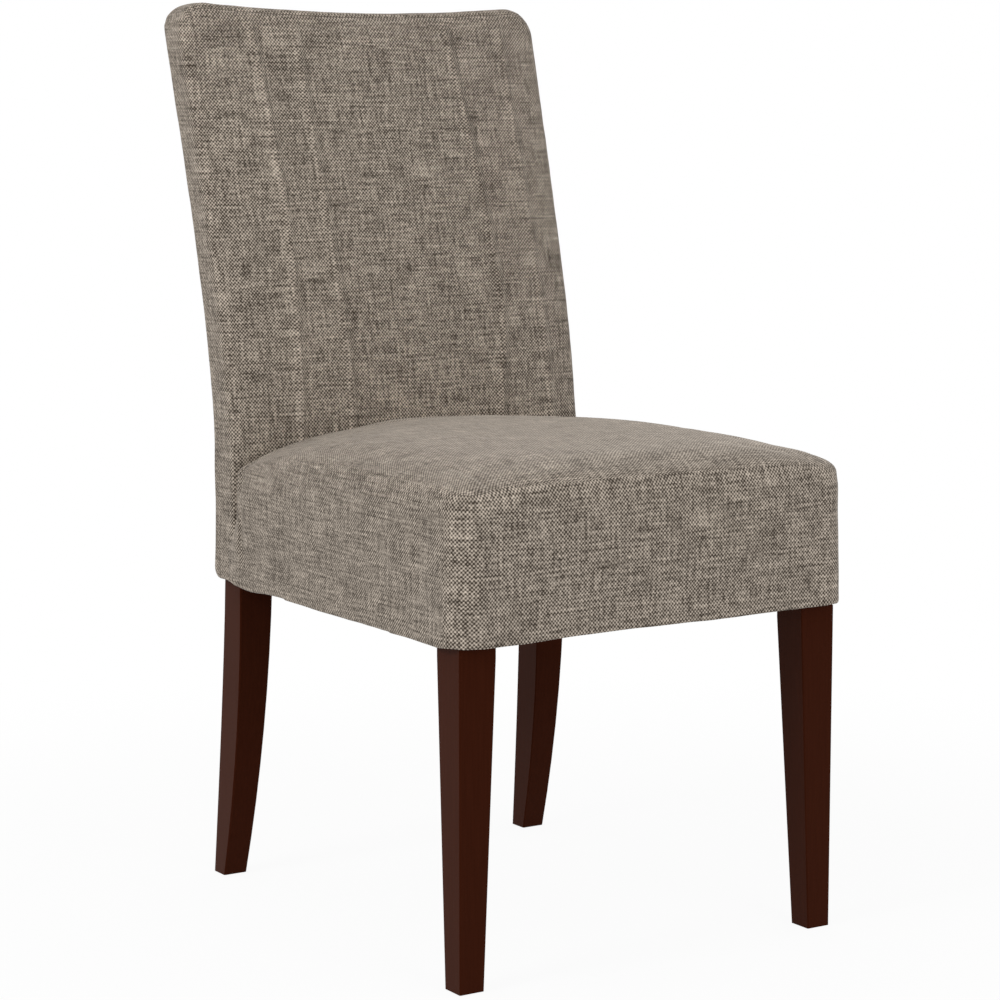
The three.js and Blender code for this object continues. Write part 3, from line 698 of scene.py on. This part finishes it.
yarn_width = 0.0020
yarn_height = 0.0021
linen_dark = (0.046, 0.034, 0.024)
linen_light = (0.800, 0.690, 0.575)

linen = Finish("taupe_linen", {
    "Specular IOR Level": 0.2,
    "Sheen Weight": 0.45,
    "Sheen Roughness": 0.4,
    "Sheen Tint": (1, 0.9, 0.8, 1),
})
cloth = linen.node("ShaderNodeUVMap", {"uv_map": "weave"}, {}).outputs[0]
cloth_split = linen.node("ShaderNodeSeparateXYZ", {}, {0: cloth})
wander = linen.clouds(linen.stretched(cloth, 0.014, 0.014, 1), 1.0) * 0.0006
wander_along = linen.clouds(linen.stretched(linen.shifted(cloth, 3.1, 1.7, 0), 0.014, 0.014, 1), 1.0) * 0.0006
warp = (Value(linen, cloth_split.outputs["X"]) + wander) * (math.pi / yarn_width)
weft = (Value(linen, cloth_split.outputs["Y"]) + wander_along) * (math.pi / yarn_height)
checks = warp.cosine() * weft.cosine()
warp_bands = linen.clouds(linen.stretched(cloth, 0.009, 0.040, 1), 1.0)
weft_bands = linen.clouds(linen.stretched(linen.shifted(cloth, 1.3, 4.1, 0), 0.035, 0.009, 1), 1.0)
warp_slubs = linen.clouds(linen.stretched(cloth, 0.0030, 0.030, 1), 1.0)
weft_slubs = linen.clouds(linen.stretched(linen.shifted(cloth, 5.3, 2.9, 0), 0.042, 0.0026, 1), 1.0)
patches = linen.clouds(linen.stretched(cloth, 0.050, 0.040, 1), 2.0)
specks = linen.clouds(linen.stretched(cloth, 0.0040, 0.0030, 1), 0.0)
bands = warp_bands * 0.6 + weft_bands * 0.6
light_yarn = checks * (bands.ramp(-0.1, 0.5) * -0.5 + 1.0) * 0.52
slubs = warp_slubs * 0.34 + weft_slubs * 0.38 + specks * 0.28 + patches * 0.12
# The shade attribute adds the painted light and shade along the back's upright ridges.
tone = light_yarn + slubs - bands * 0.08 + linen.attribute("shade") + 0.285
thread = linen.blend(tone.maths("MAXIMUM", 0.0).maths("MINIMUM", 1.0), linen_dark, linen_light)
# Painted shade: the cloth is darkened along each seam, as if in the shade of its groove, most where the seam
# is pulled tight.
painted_seam_shade = (1.0 - linen.attribute("seam").size().ramp(0.0002, 0.0011)) * linen.attribute("tight")
linen.surface(
    linen.blend(painted_seam_shade * 0.75, thread, linen_dark),
    checks * 0.04 + 0.88,
    linen.relief(checks * 0.6 + specks * 0.2, 0.0003),
)


def covered(piece, lay):
    """Puts the linen on a piece. lay gives each corner of a face its metres across and along the weave."""
    weave = piece.data.uv_layers.new(name="weave")
    for face in piece.data.polygons:
        for loop in face.loop_indices:
            place = piece.data.vertices[piece.data.loops[loop].vertex_index].co
            weave.data[loop].uv = lay(place, face.normal, face.center)
    piece.data.materials.clear()
    piece.data.materials.append(linen.material)
    for face in piece.data.polygons:
        face.use_smooth = True


boxing_shift = 1
rear_shift = 2
arc_step = 0.004
arc_steps = 180
back_arc = [0.0]
for i in range(arc_steps):
    low, high = hem + i * arc_step, hem + (i + 1) * arc_step
    back_arc.append(back_arc[-1] + math.hypot(arc_step, back_rear(high) - back_rear(low)))


def arc_at(z):
    """The length of the back's curve from the hem to a height."""
    place = min(max((z - hem) / arc_step, 0), len(back_arc) - 2)
    i = int(place)
    return mixed(back_arc[i], back_arc[i + 1], place - i)


def round_edge(past, depth, radius):
    """The length of cloth past the start of a rounded edge, laid flat."""
    if past <= 0:
        return past
    if depth >= radius:
        return radius * math.pi / 2 + depth - radius
    return radius * math.atan2(past, radius - depth)


def crest_at(x):
    """Height of the back's top edge across its width."""
    past = abs(x) - (back_half_at(back_top) - ear_radius)
    ear = rounded_draw(max(ear_radius - past, 0), ear_radius) if past > 0 else 0
    return back_top - ear - dip_at(x, back_top)


def back_cloth(place, normal, centre):
    """Front and rear panels run with the height; the boxing goes on round the sides and over the top."""
    if centre.y > back_rear(centre.z) - 0.003:
        return (place.x + rear_shift, arc_at(place.z))
    depth = place.y - back_rear(place.z) + back_thick
    on_boxing = inside_outline(centre.x, centre.z) <= centre.y - back_rear(centre.z) + back_thick
    if on_boxing and normal.z > abs(normal.x):
        drop = max(crest_at(place.x) - place.z, 0)
        return (place.x + boxing_shift, depth + (drop if depth > back_edge else -drop))
    start = back_half_at(place.z) - back_edge
    across = start + round_edge(abs(place.x) - start, depth, back_edge)
    return (math.copysign(across, place.x), arc_at(place.z))


covered(back, back_cloth)
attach(back, "root")
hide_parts("back_cover", "back_foam")


# Seat: a padded box over the seat frame, crowned on top, with its front corners rounded.
# It is a foam cushion and a foam band round the rails, under the same cloth: a top panel sewn to a band
# that is pulled down over the front and sides, puckered at the front corners and turned under at the hem.
seat_half = 0.243
seat_taper = 0.011
seat_front = legs_front - 0.0125
seat_rear = legs_front + 0.470
seat_end = seat_rear + back_thick / 2
seat_corner = 0.030
seat_piping = 0.007
seat_seam = 0.156
seat_roll = 0.040
seat_bulge = 0.002
seat_side_drop = 0.012
seat_end_drop = 0.008
seat_corner_drop = 0.011
seat_beside_back = 0.026
seat_slack_left = 0.0047
seat_slack_right = 0.0025
seat_middle = (seat_rear + seat_front) / 2
seat_swell = 0.003
valley_radius = 0.007
valley_low = 0.405
valley_high = 0.470
hem_fold = 0.006


def narrowed(piece, share):
    """Draws the rear end of a box in from both sides."""
    pick(piece, "FACE", lambda p: p.y > seat_end - touching)
    bpy.ops.transform.resize(value=(share, 1, 1), center_override=(0, seat_end, hem))


seat = block("seat_upholstery", (-seat_half, seat_front, hem), (seat_half, seat_end, seat_crown))
narrowed(seat, (seat_half - seat_taper) / seat_half)
pick(seat, "EDGE", lambda p: p.y < seat_front + touching and abs(p.x) > seat_half - touching)
bpy.ops.mesh.bevel(offset=seat_corner, segments=10, affect="EDGES")
pick(seat, "EDGE", lambda p: p.z > seat_crown - touching)
bpy.ops.mesh.bevel(offset=seat_piping, segments=4, affect="EDGES")
object_mode()
applied(seat, "REMESH", mode="VOXEL", voxel_size=soft_voxel)


def seat_half_at(y):
    return mixed(seat_half, seat_half - seat_taper, share_between(seat_front, seat_end, y))


def seat_top_at(x, y):
    """Height of the seat's crown, which falls to its edges, its corners and beside the back."""
    sideways = min(abs(x / seat_half), 1) ** 4
    lengthways = min(abs((y - seat_middle) / (seat_rear - seat_middle)), 1.1) ** 4
    rearward = share_between(seat_middle, seat_rear, y)
    beside = seat_beside_back * rearward**2 * (x / seat_half) ** 2
    corner = seat_corner_drop * sideways * lengthways
    slack = seat_slack_left * smooth(-0.02, -0.09, x) - seat_slack_right * smooth(0.05, 0.12, x)
    drop = seat_side_drop * sideways + seat_end_drop * lengthways + corner + beside + slack * rearward**2
    return seat_crown - drop


def seat_inside(x, y):
    """How far a place is inside the seat's plan, from its front and sides."""
    dx = abs(x) - (seat_half_at(y) - seat_corner)
    dy = seat_front + seat_corner - y
    if dx > 0 and dy > 0:
        return seat_corner - math.hypot(dx, dy)
    return seat_corner - max(dx, dy)


def seat_seam_at(x, y):
    """Height of the seam between the seat's top panel and its band."""
    rearward = share_between(seat_middle, seat_rear, y)
    corner = smooth(0.17, 0.24, abs(x)) * smooth(seat_front + 0.05, seat_front, y)
    return hem + seat_seam - 0.007 * corner - 0.030 * rearward**2 * (x / seat_half) ** 2


def seat_level(x, y):
    """The top panel: it rises steeply from its seam and then eases into the crown."""
    share = min(max(seat_inside(x, y), 0) / seat_roll, 1)
    return mixed(seat_seam_at(x, y), seat_top_at(x, y), 1 - (1 - share) ** 2.3)


def seam_distance(place):
    """Signed distance from the top panel's seam."""
    rise = place.z - seat_seam_at(place.x, place.y)
    return math.copysign(math.hypot(max(seat_inside(place.x, place.y), 0), rise), rise)


def front_corner(place):
    """1 at the seat's two front corners and 0 away from them."""
    return smooth(0.180, 0.230, abs(place.x)) * smooth(seat_front + 0.10, seat_front + 0.03, place.y)


def seat_held(place):
    """The rear, the hem, the seam and the band's front corners are held, and the top's corners by half."""
    if place.y > seat_rear - 0.01:
        return 1.0
    seam = seam_distance(place)
    free = smooth(hem + 0.010, hem + 0.05, place.z) * smooth(0.003, 0.020, abs(seam))
    return 1.0 - free * (1 - front_corner(place) * (1 - 0.5 * smooth(-0.01, 0.01, seam)))


def squared(depth):
    """How far to move a vertex outwards so that the remeshed edge of the hem is square again."""
    return depth * (1 - (depth / hem_fold) ** 2) if 0 < depth < hem_fold else 0


def filled(place, normal):
    """Crown, belly and the rounded rear corners that leave a valley beside the back."""
    share = (place.z - hem) / (seat_crown - hem)
    level = seat_level(place.x, place.y)
    beside = smooth(seat_rear, seat_end - 0.01, place.y)
    corner = front_corner(place)
    belly = seat_bulge * math.sin(math.pi * share) * (1 - beside) * (1 - 0.6 * corner)
    belly += 0.003 * corner * max(1 - share, 0) ** 2
    if place.z < hem + hem_band:
        belly += squared(seat_inside(place.x, place.y))
    valley = rounded_draw(max(seat_rear - place.y, 0), valley_radius)
    valley *= smooth(valley_low, valley_high, place.z)
    near_side = smooth(0.15, seat_half_at(place.y), abs(place.x))
    outward = Vector((normal.x, normal.y, 0)) * belly
    inward = Vector((math.copysign(valley * near_side, place.x), 0, 0))
    raised = Vector((place.x, place.y, hem + (level - hem) * share - squared(place.z - hem)))
    return raised + outward - inward - normal * seat_swell * (1 - seat_held(place))


reshape(seat, filled)
blown(seat, seat_held, seat_swell)
applied(seat, "SUBSURF", levels=1, render_levels=1)


def seat_tightness(place):
    """How deep the seam's groove and its painted shade are: they show most at the front corners, where the
    cloth is pulled in.
    """
    if place.y > seat_rear - 0.03:
        return 0.0
    corner = smooth(0.12, 0.20, abs(place.x)) * smooth(seat_front + 0.12, seat_front + 0.05, place.y)
    return 0.35 + 0.65 * corner


def seat_creases(place, normal):
    """Seam groove, puckers at the corners, a wavy hem and uneven stuffing."""
    move = -0.0014 * seat_tightness(place) * bump(seam_distance(place), seam_groove)
    x, y = abs(place.x), place.y - legs_front
    for near, far, line, height in ((-0.012, 0.065, 0.199, 0.0009), (-0.012, 0.035, 0.224, 0.0007)):
        reach = smooth(near - 0.02, near, y) * (1 - smooth(far, far + 0.03, y))
        above = smooth(0.500, 0.508, place.z)
        move -= height * reach * above * bump(x - line, 0.004)
    loose = 1 - smooth(seat_rear - 0.02, seat_end - 0.01, place.y)
    move += loose * (0.0007 * noise.noise(place * 12) + 0.0003 * noise.noise(place * 40 + Vector((5, 2, 1))))
    low = 1 - smooth(0, 0.030, place.z - hem)
    at_side = smooth(0.2, 0.23, x) * smooth(0.0, 0.03, y) * (1 - smooth(0.475, 0.490, y))
    sag = (0.0022 + 0.0028 * bump(y - 0.437, 0.030)) * at_side
    lift = 0.0024 * smooth(-0.18, -0.09, place.x) + 0.0014 * smooth(0.12, 0.22, place.x)
    lift *= smooth(0.03, 0.01, y)
    wave = 0.0005 * noise.noise(Vector((place.x, place.y, 0)) * 18)
    return place + normal * move + Vector((0, 0, low * (lift - sag + wave)))


reshape(seat, seat_creases)

frame_half = 0.2347
frame_rear_half = 0.2198
frame_bottom = 0.3527
opening_front = 0.0056
opening_half = 0.2283
opening_rear_half = 0.2135
opening_top = 0.3600
leg_inner = 0.1907
leg_outer = 0.2343
leg_depth = 0.0432
leg_gap = 0.0004
past_end = seat_end + 0.01

frame_low = (-frame_half, legs_front - room_gap, frame_bottom)
frame_room = block("frame_room", frame_low, (frame_half, past_end, rail_room_top))
narrowed(frame_room, frame_rear_half / frame_half)
pick(frame_room, "EDGE", lambda p: p.y < legs_front and abs(p.x) > 0.23 and 0.36 < p.z < 0.43)
bpy.ops.mesh.bevel(offset=0.005, segments=3, affect="EDGES")
object_mode()
cut_by(seat, frame_room)

opening_low = (-opening_half, legs_front + opening_front, below_hem)
opening = block("opening", opening_low, (opening_half, past_end, opening_top))
narrowed(opening, opening_rear_half / opening_half)
object_mode()
cut_by(seat, opening)
for left, right in ((-leg_outer, -leg_inner), (leg_inner, leg_outer)):
    leg_low = (left, legs_front - leg_gap, below_hem)
    cut_by(seat, block("leg_hole", leg_low, (right, legs_front + leg_depth, opening_top)))

back_room = back.copy()
back_room.data = back.data.copy()
for name in ("seam", "tight", "shade"):
    back_room.data.attributes.remove(back_room.data.attributes[name])
back_room.data.uv_layers.remove(back_room.data.uv_layers["weave"])
bpy.context.collection.objects.link(back_room)
bpy.ops.object.select_all(action="DESELECT")
bpy.context.view_layer.objects.active = back_room
bpy.ops.object.mode_set(mode="EDIT")
bpy.ops.mesh.select_all(action="SELECT")
bpy.ops.transform.shrink_fatten(value=0.0002)
object_mode()
cut_by(seat, back_room)


def seat_cloth(place, normal, centre):
    """The top panel lies along and across the seat, and the band runs round its front and sides."""
    if centre.z > seat_seam_at(centre.x, centre.y):
        rise = seat_top_at(place.x, place.y) - place.z
        along = place.y - rise * smooth(seat_roll, 0, place.y - seat_front)
        near_side = smooth(seat_roll, 0, seat_inside(place.x, place.y)) * smooth(0.15, 0.2, abs(place.x))
        return (place.x + math.copysign(rise * near_side, place.x), along)
    if abs(centre.x) < seat_half_at(centre.y) - seat_corner:
        return (place.x, place.z)
    if centre.y > seat_front + seat_corner:
        return (math.copysign(seat_half + place.y - seat_front, place.x), place.z)
    angle = math.atan2(abs(place.x) - (seat_half - seat_corner), seat_front + seat_corner - place.y)
    return (math.copysign(seat_half - seat_corner + seat_corner * angle, place.x), place.z)


keep(seat, "seam", seam_distance)
keep(seat, "tight", seat_tightness)
covered(seat, seat_cloth)
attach(seat, "root")
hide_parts("seat_cover", "seat_foam", "apron_padding")


# Outside back: the panel that closes the rear of the back, tacked along its top and sewn down its sides.
# It is stiff card under the same cloth, pulled flat, and its edges are turned in beside the boxing.
panel = panel_shape("outside_back_panel", 0.0, 0.0)
applied(panel, "BEVEL", limit_method="ANGLE", width=0.0008, segments=2)
reshape(panel, panel_place)
covered(panel, lambda place, normal, centre: (place.x + rear_shift, arc_at(place.z)))
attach(panel, "root")
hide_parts("outside_back")


# Floor and light: a plain white studio floor, which the camera sees as white paper with the shadow.
# Two large soft lights stand to the left and in front of the chair, with soft light all round.
floor_reach = 9.0
paper_white = (0.92, 0.92, 0.92)
paper_grey = (0.62, 0.62, 0.62)
horizon_light = 0.35
zenith_light = 0.74
backdrop_light = 1.0
white_light = (1, 1, 1, 1)

bpy.ops.mesh.primitive_grid_add(x_subdivisions=8, y_subdivisions=8, size=2 * floor_reach, location=(0, 0, 0))
floor = bpy.context.object
floor.name = "floor"
paper = Finish("white_paper", {"Roughness": 0.9, "Specular IOR Level": 0.1})
rays = paper.node("ShaderNodeLightPath", {}, {})
seen = Value(paper, rays.outputs["Is Camera Ray"])
for ray in ("Is Glossy Ray", "Is Transmission Ray"):
    seen = seen.maths("MAXIMUM", Value(paper, rays.outputs[ray]))
length = paper.node("ShaderNodeVectorMath", {"operation": "LENGTH"}, {0: paper.object_place()})
from_chair = Value(paper, length.outputs["Value"])
share = seen * (from_chair.ramp(0.5, 1.4) * 0.07 + 0.93)
paper.feed(paper.shader.inputs["Base Color"], paper.blend(seen, paper_grey, paper_white))
white = paper.node("ShaderNodeEmission", {}, {"Color": white_light, "Strength": backdrop_light})
mixer = paper.node("ShaderNodeMixShader", {}, {0: share, 1: paper.shader.outputs[0], 2: white.outputs[0]})
paper.feed(paper.tree.nodes["Material Output"].inputs["Surface"], mixer.outputs[0])
floor.data.materials.append(paper.material)

world = bpy.data.worlds.new("studio")
bpy.context.scene.world = world
world.use_nodes = True
nodes, links = world.node_tree.nodes, world.node_tree.links
sky = nodes["Background"]
sky.inputs["Color"].default_value = white_light
height = nodes.new("ShaderNodeSeparateXYZ")
links.new(nodes.new("ShaderNodeTexCoord").outputs["Generated"], height.inputs[0])
gradient = nodes.new("ShaderNodeMapRange")
gradient.inputs["To Min"].default_value = horizon_light
gradient.inputs["To Max"].default_value = zenith_light
links.new(height.outputs["Z"], gradient.inputs["Value"])
links.new(gradient.outputs[0], sky.inputs["Strength"])
backdrop = nodes.new("ShaderNodeBackground")
backdrop.inputs["Color"].default_value = white_light
backdrop.inputs["Strength"].default_value = backdrop_light
path = nodes.new("ShaderNodeLightPath")
chooser = nodes.new("ShaderNodeMixShader")
links.new(path.outputs["Is Camera Ray"], chooser.inputs[0])
links.new(sky.outputs[0], chooser.inputs[1])
links.new(backdrop.outputs[0], chooser.inputs[2])
links.new(chooser.outputs[0], nodes["World Output"].inputs["Surface"])

lights_aim = Vector((0, 0, 0.5))
for name, place, power, size in (
    ("left_light", (-3.5, -0.5, 2.5), 56, 1.4),
    ("front_light", (0.3, -4.2, 1.4), 45, 2.2),
):
    bpy.ops.object.light_add(type="AREA", location=place)
    light = bpy.context.object
    light.name = name
    light.data.energy = power
    light.data.shape = "DISK"
    light.data.size = size
    light.rotation_euler = (lights_aim - light.location).to_track_quat("-Z", "Y").to_euler()

camera_place = (-1.704467, -2.667845, 0.871251)
camera_down = 7.672
camera_turn = -32.745
camera_lens = 104.38
film_width = 36

bpy.ops.object.camera_add(location=camera_place)
camera = bpy.context.object
camera.rotation_euler = (math.radians(90 - camera_down), 0, math.radians(camera_turn))
camera.data.lens = camera_lens
camera.data.sensor_width = film_width
bpy.context.scene.camera = camera
bpy.context.scene.view_settings.view_transform = "Standard"
